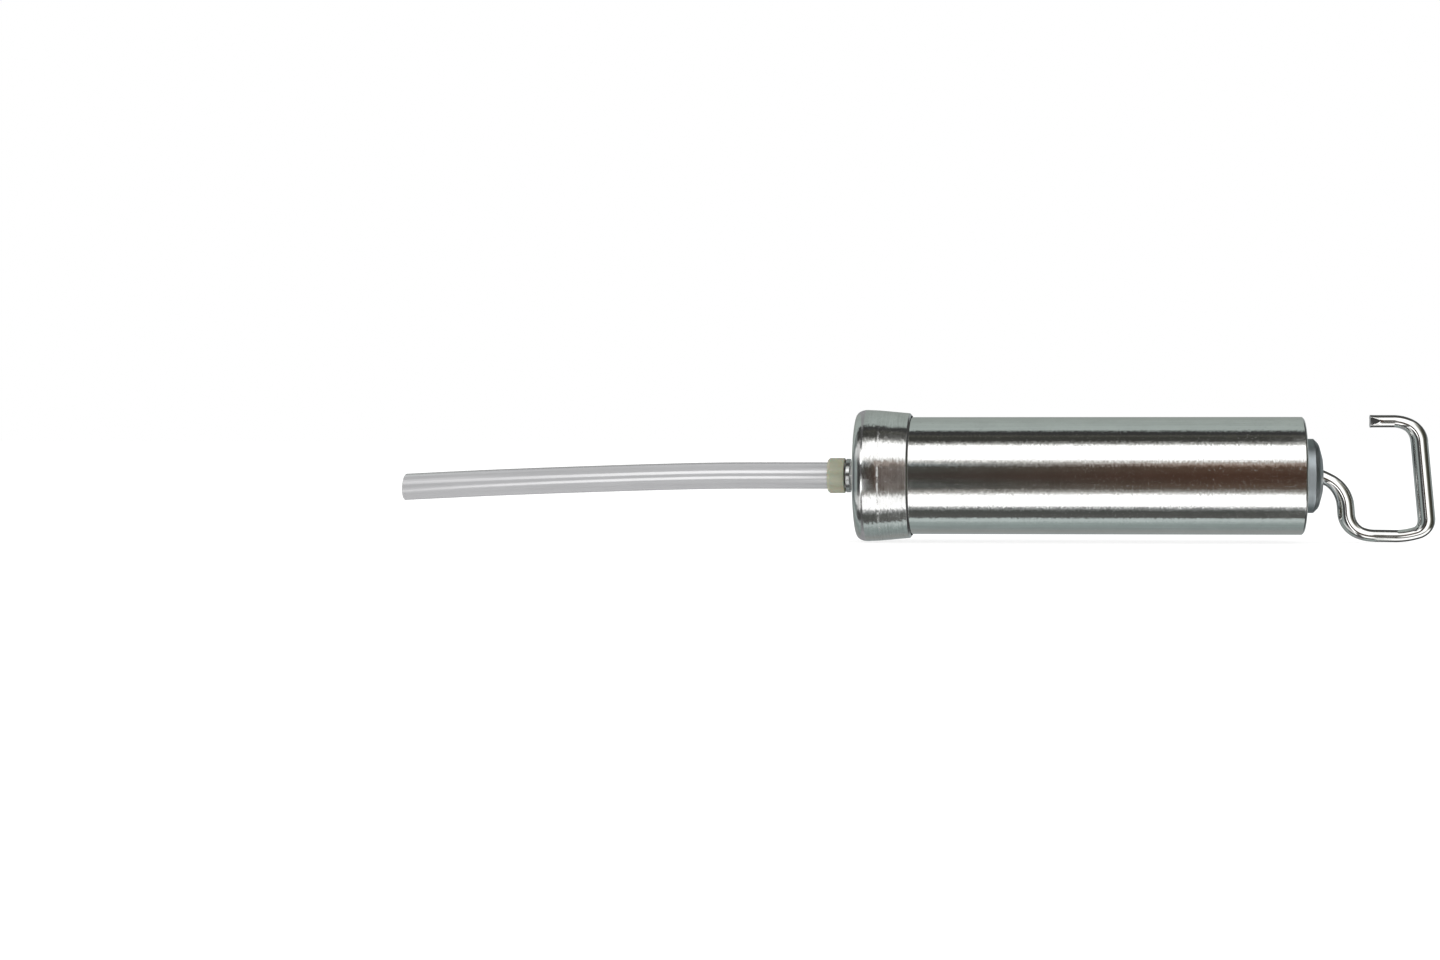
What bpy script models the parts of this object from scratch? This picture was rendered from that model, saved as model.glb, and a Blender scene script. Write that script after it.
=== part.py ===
"""Hand suction gun: a polished barrel with a screw cap and hose, and a plunger bent from one rod.

Units are metres and +Z is up. The barrel's axis runs along +X, from the hose towards the handle.
The gun lies on its cap and on its handle at z = 0. The origin is under the middle of the rigid
gun, which is the gun without its hose and the hose's collar.
"""

import math

import bmesh
import bpy
from mathutils import Vector

MM = 0.001
GAP = 0.3 * MM

# Barrel. Lengths along the axis start at the cap's front face.
BARREL_R = 28.575 * MM
BARREL_WALL = 1.2 * MM
BARREL_FRONT = 3.7 * MM
BARREL_REAR = 217.1 * MM
BARREL_CORNER = 2.0 * MM

# Screw thread between the cap and the barrel, right handed.
THREAD_PITCH = 3.0 * MM
THREAD_BASE = 1.4 * MM
THREAD_CREST = 0.5 * MM
THREAD_EMBED = 0.3 * MM
BARREL_THREAD_START = 5.5 * MM
BARREL_THREAD_TURNS = 3
BARREL_THREAD_CREST_R = 29.35 * MM
CAP_THREAD_TURNS = 2
CAP_THREAD_START = BARREL_THREAD_START + THREAD_PITCH
CAP_THREAD_CREST_R = 28.95 * MM

# Cap.
CAP_R = 32.1 * MM
CAP_LENGTH = 26.7 * MM
CAP_BORE_R = 29.7 * MM
CAP_WALL = 1.6 * MM
CAP_RIM_R = 30.5 * MM
CAP_HOLE_R = 6.5 * MM

# Hose fitting, and the nut that holds it in the cap.
HEX_CORNER_R = 8.25 * MM
SHOULDER_FRONT = -5.5 * MM
SHOULDER_REAR = -3.4 * MM
SHANK_R = 6.2 * MM
SHANK_END = 9.0 * MM
FITTING_BORE_R = 3.0 * MM
NIPPLE_R = 3.9 * MM
BARB_R = 4.3 * MM
BARB_COUNT = 3
BARB_PITCH = 6.0 * MM
NIPPLE_TIP = -27.0 * MM
LOCK_NUT_CORNER_R = 10.1 * MM
LOCK_NUT_THICKNESS = 4.5 * MM

# Collar and hose.
COLLAR_R = 8.6 * MM
COLLAR_FRONT = -14.4 * MM
COLLAR_REAR = -6.0 * MM
HOSE_R = 6.5 * MM
HOSE_WALL = 1.7 * MM
HOSE_STEP = 27.0 * MM
# The hose's route: distance in front of the cap's face, and how far it has dropped by there.
HOSE_ROUTE = (
    (6.3, 0.0),
    (20.0, 0.0),
    (34.0, 0.0),
    (48.0, 0.0),
    (62.0, 0.05),
    (76.0, 0.25),
    (90.0, 0.57),
    (104.0, 0.95),
    (118.0, 1.38),
    (132.0, 1.85),
    (146.0, 2.33),
    (160.0, 2.85),
    (174.0, 3.40),
    (188.0, 4.00),
    (202.0, 4.66),
    (213.0, 5.20),
    (224.9, 5.80),
)

# Rod guide in the barrel's rear wall.
GUIDE_HOLE_R = 10.0 * MM
GUIDE_R = 18.0 * MM
GUIDE_HEIGHT = 8.6 * MM
GUIDE_EDGE = 5.2 * MM
GUIDE_BORE_R = 4.3 * MM
GUIDE_MOUTH_R = 7.0 * MM
GUIDE_NECK_END = 211.1 * MM
LOCK_RING_R = 15.0 * MM
LOCK_RING_THICKNESS = 2.6 * MM

# Rod and handle. The handle's runs along the barrel are pressed flatter than the round rod.
ROD_R = 3.9 * MM
ROD_END_R = 3.5 * MM
ROD_TIP = 10.6 * MM
ROD_THREAD_END = 41.0 * MM
RUN_HALF_HEIGHT = 2.98 * MM
GRIP_HALF_HEIGHT = 4.25 * MM
PRESSED_AFTER = 9.0 * MM
BEND_START_FROM_GUIDE = -4.3 * MM
# The wire's bends in order: a radius and an angle, positive upwards, or a straight's length.
WIRE_BENDS = (
    ("bend", 15.8, -85.2),
    ("straight", 3.9),
    ("bend", 11.0, 66.1),
    ("bend", 19.4, 18.3),
    ("straight", 9.8),
    ("bend", 33.9, 17.8),
    ("bend", 6.9, 78.4),
    ("straight", 37.2),
    ("bend", 10.2, 60.0),
    ("bend", 15.8, 24.6),
    ("straight", 11.2),
)
BEND_STEP_DEG = 10.0
STRAIGHT_STEP = 12.0 * MM
ROD_SIDES = 12

# Piston pack, clamped between two nuts on the rod's end.
PISTON_FRONT = 12.0 * MM
PISTON_NUT_CORNER_R = 7.5 * MM
PISTON_NUT_THICKNESS = 5.0 * MM
LOCK_WASHER_R = 6.4 * MM
LOCK_WASHER_THICKNESS = 1.5 * MM
FOLLOWER_R = 22.0 * MM
FOLLOWER_THICKNESS = 2.0 * MM
CUP_R = 27.05 * MM
CUP_LIP_R = 24.4 * MM
CUP_THICKNESS = 2.5 * MM
CUP_LIP_LENGTH = 9.0 * MM
SPREADER_R = 24.0 * MM
SPREADER_THICKNESS = 2.0 * MM
ROD_HOLE_R = ROD_END_R + GAP

BIG_SIDES = 36
SMALL_SIDES = 24
AXIS_HEIGHT = CAP_R


def remove_all_objects():
    for old in list(bpy.data.objects):
        bpy.data.objects.remove(old, do_unlink=True)


def make_material(name, colour, roughness, metallic, alpha=1.0):
    material = bpy.data.materials.new(name)
    material.use_nodes = True
    shader = material.node_tree.nodes["Principled BSDF"]
    shader.inputs["Base Color"].default_value = (*colour, 1.0)
    shader.inputs["Roughness"].default_value = roughness
    shader.inputs["Metallic"].default_value = metallic
    shader.inputs["Alpha"].default_value = alpha
    material.diffuse_color = (*colour, alpha)
    return material


def polished_steel(name):
    return make_material(name, (0.80, 0.80, 0.79), 0.12, 1.0)


def brushed_steel(name):
    return make_material(name, (0.68, 0.68, 0.67), 0.30, 1.0)


def black_rubber(name):
    return make_material(name, (0.03, 0.03, 0.03), 0.60, 0.0)


def wire_path():
    """The handle's centreline in its own plane, as (along, up, heading, distance) from the first bend."""
    along = 0.0
    up = 0.0
    heading = 0.0
    distance = 0.0
    points = [(along, up, heading, distance)]
    for step in WIRE_BENDS:
        if step[0] == "straight":
            length = step[1] * MM
            count = max(1, round(length / STRAIGHT_STEP))
            turn = 0.0
            chord = length / count
        else:
            radius = step[1] * MM
            count = max(1, round(abs(step[2]) / BEND_STEP_DEG))
            turn = math.radians(step[2]) / count
            chord = 2 * radius * math.sin(abs(turn) / 2)
        for _ in range(count):
            along += chord * math.cos(heading + turn / 2)
            up += chord * math.sin(heading + turn / 2)
            heading += turn
            distance += chord
            points.append((along, up, heading, distance))
    return points


def wire_half_height(heading, distance):
    """Half the wire's height in the handle's plane. The rod is round before the first bend."""
    run = RUN_HALF_HEIGHT + (GRIP_HALF_HEIGHT - RUN_HALF_HEIGHT) * math.sin(heading) ** 2
    pressed = min(1.0, max(0.0, distance / PRESSED_AFTER))
    return ROD_R + (run - ROD_R) * pressed


def handle_reach():
    """How far the handle reaches behind its first bend."""
    reach = 0.0
    for along, _, heading, distance in wire_path():
        reach = max(reach, along + wire_half_height(heading, distance) * abs(math.sin(heading)))
    return reach


GUIDE_REAR = BARREL_REAR + GUIDE_HEIGHT
BEND_START = GUIDE_REAR + BEND_START_FROM_GUIDE
RIGID_REAR = BEND_START + handle_reach()
RIGID_FRONT = NIPPLE_TIP
CAP_FACE_X = -(RIGID_FRONT + RIGID_REAR) / 2


def place(along, sideways, up):
    """A point in the part's frame, from its distance behind the cap's face and from the axis."""
    return Vector((CAP_FACE_X + along, sideways, AXIS_HEIGHT + up))


def new_object(name, bm, material, smooth_angle=35.0):
    """Makes an object from a closed mesh, with its origin on the barrel's axis at the cap's face."""
    bmesh.ops.recalc_face_normals(bm, faces=bm.faces)
    origin = place(0, 0, 0)
    bmesh.ops.translate(bm, vec=-origin, verts=bm.verts)
    if bm.calc_volume(signed=True) < 0:
        bmesh.ops.reverse_faces(bm, faces=bm.faces)
    mesh = bpy.data.meshes.new(name)
    bm.to_mesh(mesh)
    bm.free()
    mesh.shade_smooth()
    mesh.set_sharp_from_angle(angle=math.radians(smooth_angle))
    mesh.materials.append(material)
    made = bpy.data.objects.new(name, mesh)
    made.location = origin
    bpy.context.collection.objects.link(made)
    return made


def hex_radius(corner_r, angle):
    """Distance from the middle of a hexagon to its side, with one corner straight up."""
    side_angle = (angle + math.radians(30)) % math.radians(60) - math.radians(30)
    return corner_r * math.cos(math.radians(30)) / math.cos(side_angle)


def turned(name, profile, material, sides=SMALL_SIDES, smooth_angle=35.0):
    """A ring-shaped piece turned round the barrel's axis from a closed profile of (along, radius).

    A third value makes that ring a hexagon with this corner radius, cut back to the first radius.
    """
    bm = bmesh.new()
    rings = []
    for point in profile:
        ring = []
        for index in range(sides):
            angle = 2 * math.pi * index / sides
            radius = point[1]
            if len(point) == 3:
                radius = min(radius, hex_radius(point[2], angle))
            position = place(point[0], radius * math.cos(angle), radius * math.sin(angle))
            ring.append(bm.verts.new(position))
        rings.append(ring)
    for first, second in zip(rings, rings[1:] + rings[:1]):
        for index in range(sides):
            after = (index + 1) % sides
            bm.faces.new((first[index], first[after], second[after], second[index]))
    return new_object(name, bm, material, smooth_angle)


def arc(centre_along, centre_radius, radius, start_deg, end_deg, steps):
    """Points of a rounded edge in a profile."""
    points = []
    for index in range(steps + 1):
        angle = math.radians(start_deg + (end_deg - start_deg) * index / steps)
        points.append((centre_along + radius * math.cos(angle), centre_radius + radius * math.sin(angle)))
    return points


def thread_ridge(name, root_r, crest_r, start, turns):
    """A helical ridge, which is sunk into its wall by THREAD_EMBED and fades out at both ends."""
    bm = bmesh.new()
    outward = 1 if crest_r > root_r else -1
    base_r = root_r - outward * THREAD_EMBED
    steps = turns * BIG_SIDES
    fade = BIG_SIDES / 6
    rings = []
    for index in range(steps + 1):
        angle = 2 * math.pi * index / BIG_SIDES
        along = start + THREAD_PITCH * index / BIG_SIDES
        rise = min(1.0, (index + 1) / fade, (steps - index + 1) / fade)
        crest = root_r + (crest_r - root_r) * rise
        corners = (
            (along - THREAD_BASE / 2, base_r),
            (along - THREAD_CREST / 2, crest),
            (along + THREAD_CREST / 2, crest),
            (along + THREAD_BASE / 2, base_r),
        )
        ring = []
        for x, radius in corners:
            position = place(x, radius * math.cos(angle), radius * math.sin(angle))
            ring.append(bm.verts.new(position))
        rings.append(ring)
    for first, second in zip(rings, rings[1:]):
        for index in range(4):
            after = (index + 1) % 4
            bm.faces.new((first[index], first[after], second[after], second[index]))
    bm.faces.new(rings[0])
    bm.faces.new(rings[-1])
    ridge = new_object(name, bm, brushed_steel(name))
    ridge.hide_render = True
    ridge.display_type = "WIRE"
    return ridge


def join_shape(piece, tool):
    """Adds the tool's shape to the piece with a Boolean union."""
    union = piece.modifiers.new("thread", "BOOLEAN")
    union.operation = "UNION"
    union.solver = "EXACT"
    union.object = tool


def make_barrel():
    bore_r = BARREL_R - BARREL_WALL
    corner = BARREL_REAR - BARREL_CORNER
    inner_corner = BARREL_CORNER - BARREL_WALL
    profile = [(BARREL_FRONT, bore_r), (BARREL_FRONT, BARREL_R)]
    profile += arc(corner, BARREL_R - BARREL_CORNER, BARREL_CORNER, 90, 0, 5)
    profile += [(BARREL_REAR, GUIDE_HOLE_R), (BARREL_REAR - BARREL_WALL, GUIDE_HOLE_R)]
    profile += arc(corner, bore_r - inner_corner, inner_corner, 0, 90, 4)
    barrel = turned("barrel", profile, polished_steel("barrel"), BIG_SIDES)
    ridge = thread_ridge(
        "barrel_thread", BARREL_R, BARREL_THREAD_CREST_R, BARREL_THREAD_START, BARREL_THREAD_TURNS
    )
    join_shape(barrel, ridge)


def make_front_cap():
    edge_r = 3.0 * MM
    profile = [(0, CAP_HOLE_R)]
    profile += arc(edge_r, CAP_R - edge_r - 0.1 * MM, edge_r, 180, 100, 5)
    profile += [
        (4.9 * MM, CAP_R),
        (9.8 * MM, CAP_R - 0.2 * MM),
        (12.4 * MM, CAP_R - 0.5 * MM),
        (17.6 * MM, CAP_R - 1.1 * MM),
        (CAP_LENGTH, CAP_RIM_R),
        (CAP_LENGTH, CAP_BORE_R),
        (CAP_WALL, CAP_BORE_R),
        (CAP_WALL, CAP_HOLE_R),
    ]
    cap = turned("front_cap", profile, brushed_steel("front_cap"), BIG_SIDES)
    ridge = thread_ridge(
        "cap_thread", CAP_BORE_R, CAP_THREAD_CREST_R, CAP_THREAD_START, CAP_THREAD_TURNS
    )
    # Half a turn puts the cap's ridge midway between the turns of the barrel's.
    ridge.rotation_euler = (math.pi, 0, 0)
    join_shape(cap, ridge)


def make_cap_gasket():
    front = CAP_WALL + GAP
    rear = BARREL_FRONT - GAP
    profile = [(front, 24.0 * MM), (front, 28.4 * MM), (rear, 28.4 * MM), (rear, 24.0 * MM)]
    turned("cap_gasket", profile, black_rubber("cap_gasket"), BIG_SIDES)


def make_hose_fitting():
    """Barbed nipple, round shoulder, hexagon, shank and bore, in one piece."""
    tip_r = NIPPLE_R - 0.2 * MM
    chamfer = 0.4 * MM
    profile = [(NIPPLE_TIP, FITTING_BORE_R), (NIPPLE_TIP, tip_r)]
    for index in range(BARB_COUNT):
        crest = NIPPLE_TIP + BARB_PITCH * (index + 0.6)
        profile += [(crest, BARB_R), (crest + 0.3 * MM, NIPPLE_R)]
    profile += [
        (SHOULDER_FRONT, NIPPLE_R),
        (SHOULDER_FRONT, HEX_CORNER_R - chamfer),
        (SHOULDER_FRONT + chamfer, HEX_CORNER_R),
        (SHOULDER_REAR, HEX_CORNER_R),
        (SHOULDER_REAR, HEX_CORNER_R, HEX_CORNER_R),
        (-GAP, HEX_CORNER_R, HEX_CORNER_R),
        (-GAP, SHANK_R),
        (SHANK_END, SHANK_R),
        (SHANK_END, FITTING_BORE_R),
    ]
    turned("hose_fitting", profile, polished_steel("hose_fitting"), smooth_angle=25.0)


def washer(name, front, thickness, hole_r, outer_r, material, sides=SMALL_SIDES):
    rear = front + thickness
    profile = [(front, hole_r), (front, outer_r), (rear, outer_r), (rear, hole_r)]
    turned(name, profile, material, sides)
    return rear + GAP


def hex_nut(name, front, thickness, hole_r, corner_r, material):
    rear = front + thickness
    chamfer = 0.1 * corner_r
    face_r = corner_r - chamfer
    profile = [
        (front, hole_r),
        (front, face_r, corner_r),
        (front + chamfer / 2, corner_r, corner_r),
        (rear - chamfer / 2, corner_r, corner_r),
        (rear, face_r, corner_r),
        (rear, hole_r),
    ]
    turned(name, profile, material, smooth_angle=25.0)
    return rear + GAP


def make_fitting_hardware():
    hole_r = SHANK_R + GAP
    front = CAP_WALL + GAP
    front = washer("fitting_gasket", front, 1.0 * MM, hole_r, 10.5 * MM, black_rubber("fitting_gasket"))
    hex_nut(
        "fitting_lock_nut",
        front,
        LOCK_NUT_THICKNESS,
        hole_r,
        LOCK_NUT_CORNER_R,
        brushed_steel("fitting_lock_nut"),
    )


def make_hose_collar():
    hole_r = HOSE_R + GAP
    chamfer = 0.9 * MM
    profile = [
        (COLLAR_FRONT, hole_r),
        (COLLAR_FRONT, COLLAR_R - chamfer),
        (COLLAR_FRONT + chamfer, COLLAR_R),
        (COLLAR_REAR, COLLAR_R),
        (COLLAR_REAR, hole_r),
    ]
    nylon = make_material("hose_collar", (0.52, 0.54, 0.39), 0.35, 0.0)
    turned("hose_collar", profile, nylon)


def smooth_route(points, step):
    """Points about a step apart on a Catmull-Rom curve through the given points."""
    dense = []
    padded = [2 * points[0] - points[1]] + points + [2 * points[-1] - points[-2]]
    for before, start, end, after in zip(padded, padded[1:], padded[2:], padded[3:]):
        for index in range(8):
            t = index / 8
            bend = (2 * before - 5 * start + 4 * end - after) * t * t
            twist = (3 * start - before - 3 * end + after) * t * t * t
            dense.append((2 * start + (end - before) * t + bend + twist) / 2)
    dense.append(points[-1])
    total = sum((b - a).length for a, b in zip(dense, dense[1:]))
    count = round(total / step)
    chosen = [dense[0]]
    walked = 0.0
    for a, b in zip(dense, dense[1:]):
        walked += (b - a).length
        if walked >= total * len(chosen) / count - 1e-9 and len(chosen) < count:
            chosen.append(b)
    chosen.append(dense[-1])
    return chosen


def make_hose():
    """The hose is an open tube along its route, given its wall by Solidify."""
    route = [place(-along * MM, 0, -drop * MM) for along, drop in HOSE_ROUTE]
    curve = bpy.data.curves.new("hose", "CURVE")
    curve.dimensions = "3D"
    curve.bevel_depth = HOSE_R
    curve.bevel_resolution = 4
    curve.use_fill_caps = False
    points = smooth_route(route, HOSE_STEP)
    spline = curve.splines.new("POLY")
    spline.points.add(len(points) - 1)
    for target, point in zip(spline.points, points):
        target.co = (*point, 1.0)
    vinyl = make_material("hose", (0.62, 0.62, 0.63), 0.15, 0.0, 0.55)
    curve.materials.append(vinyl)
    hose = bpy.data.objects.new("hose", curve)
    bpy.context.collection.objects.link(hose)
    wall = hose.modifiers.new("wall", "SOLIDIFY")
    wall.thickness = HOSE_WALL
    wall.offset = -1.0
    wall.use_even_offset = True


def make_rod_guide():
    """A boss with a rounded edge. Its neck goes through the barrel's wall, and its mouth is flared."""
    flange = BARREL_REAR + GAP
    neck_r = GUIDE_HOLE_R - GAP
    profile = [(GUIDE_NECK_END, GUIDE_BORE_R), (GUIDE_NECK_END, neck_r), (flange, neck_r), (flange, GUIDE_R)]
    profile += arc(GUIDE_REAR - GUIDE_EDGE, GUIDE_R - GUIDE_EDGE, GUIDE_EDGE, 90, 0, 5)
    profile += [(GUIDE_REAR, GUIDE_MOUTH_R), (BEND_START, GUIDE_BORE_R)]
    turned("rod_guide", profile, brushed_steel("rod_guide"), BIG_SIDES)


def make_guide_lock_ring():
    rear = BARREL_REAR - BARREL_WALL - GAP
    front = rear - LOCK_RING_THICKNESS
    steel = brushed_steel("guide_lock_ring")
    washer("guide_lock_ring", front, LOCK_RING_THICKNESS, GUIDE_HOLE_R, LOCK_RING_R, steel, BIG_SIDES)


def wire_ring(bm, along, up, heading, half_height, half_width):
    """One oval section of the wire, square to its centreline."""
    ring = []
    for index in range(ROD_SIDES):
        angle = 2 * math.pi * index / ROD_SIDES
        out = half_height * math.sin(angle)
        x = along - out * math.sin(heading)
        z = up + out * math.cos(heading)
        ring.append(bm.verts.new(place(x, half_width * math.cos(angle), z)))
    return ring


def make_rod_handle():
    """Plunger rod and hook handle, bent from one wire, with a reduced end for the piston."""
    bm = bmesh.new()
    rings = [
        wire_ring(bm, ROD_TIP, 0, 0, ROD_END_R, ROD_END_R),
        wire_ring(bm, ROD_THREAD_END, 0, 0, ROD_END_R, ROD_END_R),
        wire_ring(bm, ROD_THREAD_END + 0.4 * MM, 0, 0, ROD_R, ROD_R),
    ]
    for along, up, heading, distance in wire_path():
        half_height = wire_half_height(heading, distance)
        rings.append(wire_ring(bm, BEND_START + along, up, heading, half_height, ROD_R))
    for first, second in zip(rings, rings[1:]):
        for index in range(ROD_SIDES):
            after = (index + 1) % ROD_SIDES
            bm.faces.new((first[index], first[after], second[after], second[index]))
    bm.faces.new(rings[0])
    bm.faces.new(rings[-1])
    new_object("rod_handle", bm, brushed_steel("rod_handle"))


def cup_seal(name, base_front, lip_direction):
    """A cup seal. Its lip runs forward for a lip_direction of -1 and rearward for 1."""
    base_rear = base_front + CUP_THICKNESS
    inner_base = base_rear if lip_direction > 0 else base_front
    back = base_front if lip_direction > 0 else base_rear
    lip = back + lip_direction * (CUP_THICKNESS + CUP_LIP_LENGTH)
    chamfer = 0.8 * MM
    profile = [
        (back, ROD_HOLE_R),
        (back, CUP_R - chamfer),
        (back + lip_direction * chamfer, CUP_R),
        (lip, CUP_R),
        (lip, CUP_R - chamfer),
        (inner_base + lip_direction * chamfer, CUP_LIP_R),
        (inner_base, CUP_LIP_R - chamfer),
        (inner_base, ROD_HOLE_R),
    ]
    turned(name, profile, black_rubber(name), BIG_SIDES)
    return base_rear + GAP


def disc(name, front, thickness, outer_r, material):
    return washer(name, front, thickness, ROD_HOLE_R, outer_r, material, BIG_SIDES)


def make_piston():
    """Two cup seals facing away from each other, clamped between discs, washers and nuts."""
    steel = brushed_steel("piston_steel")
    front = hex_nut(
        "front_piston_nut", PISTON_FRONT, PISTON_NUT_THICKNESS, ROD_HOLE_R, PISTON_NUT_CORNER_R, steel
    )
    front = washer("front_lock_washer", front, LOCK_WASHER_THICKNESS, ROD_HOLE_R, LOCK_WASHER_R, steel)
    front = disc("front_follower_disc", front, FOLLOWER_THICKNESS, FOLLOWER_R, steel)
    front = cup_seal("front_cup_seal", front, -1)
    front = disc("cup_spreader_disc", front, SPREADER_THICKNESS, SPREADER_R, steel)
    front = cup_seal("rear_cup_seal", front, 1)
    front = disc("rear_follower_disc", front, FOLLOWER_THICKNESS, FOLLOWER_R, steel)
    front = washer("rear_lock_washer", front, LOCK_WASHER_THICKNESS, ROD_HOLE_R, LOCK_WASHER_R, steel)
    hex_nut("rear_piston_nut", front, PISTON_NUT_THICKNESS, ROD_HOLE_R, PISTON_NUT_CORNER_R, steel)


def main():
    remove_all_objects()
    make_hose()
    make_hose_collar()
    make_hose_fitting()
    make_fitting_hardware()
    make_front_cap()
    make_cap_gasket()
    make_barrel()
    make_rod_guide()
    make_guide_lock_ring()
    make_rod_handle()
    make_piston()


main()
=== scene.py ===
"""Looks for the hand suction gun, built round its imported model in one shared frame.

Units are metres and +Z is up. The barrel's axis runs along +X, from the hose towards the handle.
Lengths along the axis start at the cap's front face, as they do in the part's own source.
"""

import math

import bmesh
import bpy
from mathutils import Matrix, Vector


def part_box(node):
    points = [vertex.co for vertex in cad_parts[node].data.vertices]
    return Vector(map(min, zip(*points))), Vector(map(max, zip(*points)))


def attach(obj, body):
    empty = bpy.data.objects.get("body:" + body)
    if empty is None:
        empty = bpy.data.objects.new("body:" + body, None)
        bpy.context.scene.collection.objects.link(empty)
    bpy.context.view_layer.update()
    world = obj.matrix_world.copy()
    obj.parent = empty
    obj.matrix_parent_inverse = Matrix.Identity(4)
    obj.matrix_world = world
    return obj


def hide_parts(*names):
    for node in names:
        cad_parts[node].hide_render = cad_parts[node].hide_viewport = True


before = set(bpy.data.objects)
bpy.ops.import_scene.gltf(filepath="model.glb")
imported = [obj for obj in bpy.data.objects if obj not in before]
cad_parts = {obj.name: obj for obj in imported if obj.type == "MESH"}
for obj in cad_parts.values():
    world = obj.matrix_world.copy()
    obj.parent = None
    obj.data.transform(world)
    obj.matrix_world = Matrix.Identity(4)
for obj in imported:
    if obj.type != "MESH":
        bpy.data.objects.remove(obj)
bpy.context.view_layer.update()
SCENE = bpy.context.scene
MM = 0.001

HOSE_R = 6.5 * MM
CAP_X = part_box("front_cap")[0].x
AXIS_Z = (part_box("front_cap")[0].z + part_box("front_cap")[1].z) / 2


def along(node, end):
    """Where a CAD node begins (0) or ends (1), behind the cap's face."""
    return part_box(node)[end].x - CAP_X


def outer_radius(node):
    return (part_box(node)[1].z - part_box(node)[0].z) / 2


def place(behind, sideways, up):
    """A point in the part's frame, from its distance behind the cap's face and from the axis."""
    return Vector((CAP_X + behind, sideways, AXIS_Z + up))


# ---------------------------------------------------------------- camera

CAMERA_DISTANCE = 1.1218
CAMERA_BEHIND_CAP = 0.11604
CAMERA_YAW = math.radians(3.24)
CAMERA_ELEVATION = math.radians(1.0)
AIM_BELOW_AXIS = 0.0021
LENS = 57.5
SENSOR_WIDTH = 36.0
SHIFT_X = -0.17


def make_camera():
    data = bpy.data.cameras.new("camera")
    data.lens = LENS
    data.sensor_width = SENSOR_WIDTH
    data.shift_x = SHIFT_X
    data.dof.use_dof = False
    data.clip_start = 0.05
    data.clip_end = 200.0
    camera = bpy.data.objects.new("camera", data)
    lift = CAMERA_DISTANCE * math.tan(CAMERA_ELEVATION)
    camera.location = place(CAMERA_BEHIND_CAP, -CAMERA_DISTANCE, lift - AIM_BELOW_AXIS)
    camera.rotation_euler = (math.pi / 2 - CAMERA_ELEVATION, 0, CAMERA_YAW)
    SCENE.collection.objects.link(camera)
    SCENE.camera = camera


make_camera()


# ---------------------------------------------------------------- node helpers


class Nodes:
    """Adds and links the nodes of one material or world."""

    def __init__(self, tree):
        self.tree = tree

    def add(self, kind, inputs=(), **settings):
        node = self.tree.nodes.new("ShaderNode" + kind)
        for key, value in settings.items():
            setattr(node, key, value)
        for key, value in dict(inputs).items():
            if isinstance(value, bpy.types.NodeSocket):
                self.tree.links.new(value, node.inputs[key])
            else:
                node.inputs[key].default_value = value
        return node

    def math(self, operation, a, b=0.0):
        return self.add("Math", {0: a, 1: b}, operation=operation).outputs[0]

    def ramp(self, factor, stops, interpolation="LINEAR"):
        """A colour ramp. Each stop is a position and a grey value, an RGB colour or an RGBA colour."""
        node = self.add("ValToRGB", {"Fac": factor})
        ramp = node.color_ramp
        ramp.interpolation = interpolation
        while len(ramp.elements) < len(stops):
            ramp.elements.new(1.0)
        for element, (position, value) in zip(ramp.elements, stops):
            if isinstance(value, (int, float)):
                value = (value, value, value)
            element.position = position
            element.color = value if len(value) == 4 else (*value, 1.0)
        return node.outputs["Color"], node.outputs["Alpha"]

    def mix(self, factor, a, b, blend="MIX"):
        node = self.add("Mix", data_type="RGBA", blend_type=blend)
        for key, value in ((0, factor), (6, a), (7, b)):
            if isinstance(value, bpy.types.NodeSocket):
                self.tree.links.new(value, node.inputs[key])
            else:
                node.inputs[key].default_value = value
        return node.outputs[2]

    def noise(self, vector, scale, detail=3.0, roughness=0.5):
        node = self.add(
            "TexNoise", {"Vector": vector, "Scale": scale, "Detail": detail, "Roughness": roughness}
        )
        return node.outputs["Fac"]

    def scaled(self, vector, scale):
        return self.add("VectorMath", {0: vector, 1: scale}, operation="MULTIPLY").outputs[0]

    def bump(self, height, distance, strength=1.0, normal=None):
        node = self.add("Bump", {"Height": height, "Distance": distance, "Strength": strength})
        if normal is not None:
            self.tree.links.new(normal, node.inputs["Normal"])
        return node.outputs["Normal"]


def new_material(name):
    material = bpy.data.materials.new(name)
    material.use_nodes = True
    shader = material.node_tree.nodes["Principled BSDF"]
    return material, Nodes(material.node_tree), shader


def link(nodes, socket, shader, name):
    nodes.tree.links.new(socket, shader.inputs[name])


def grain_vector(nodes, grain):
    """Texture space stretched the way the surface was worked.

    "drawn" runs along the barrel, "turned" runs round its axis, and "wire" runs along the bent wire.
    """
    if grain == "wire":
        place_on_wire = nodes.add("Attribute", attribute_name="on_wire").outputs["Vector"]
        return nodes.scaled(place_on_wire, (0.02, 1.0, 1.0)), place_on_wire
    here = nodes.add("TexCoord").outputs["Object"]
    if grain == "drawn":
        return nodes.scaled(here, (0.012, 1.0, 1.0)), here
    xyz = nodes.add("SeparateXYZ", {0: here})
    x, y, z = xyz.outputs
    square = nodes.math("ADD", nodes.math("POWER", y, 2.0), nodes.math("POWER", z, 2.0))
    profile = nodes.math("ADD", x, nodes.math("SQRT", square))
    turned_vector = nodes.add("CombineXYZ", {0: profile, 1: y, 2: z}).outputs[0]
    return nodes.scaled(turned_vector, (1.0, 0.02, 0.02)), here


def fading(nodes, value, full, none):
    """1 up to full, then smoothly down to 0 at none."""
    node = nodes.add(
        "MapRange", {0: value, 1: full, 2: none, 3: 1.0, 4: 0.0}, interpolation_type="SMOOTHSTEP"
    )
    return node.outputs[0]


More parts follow.
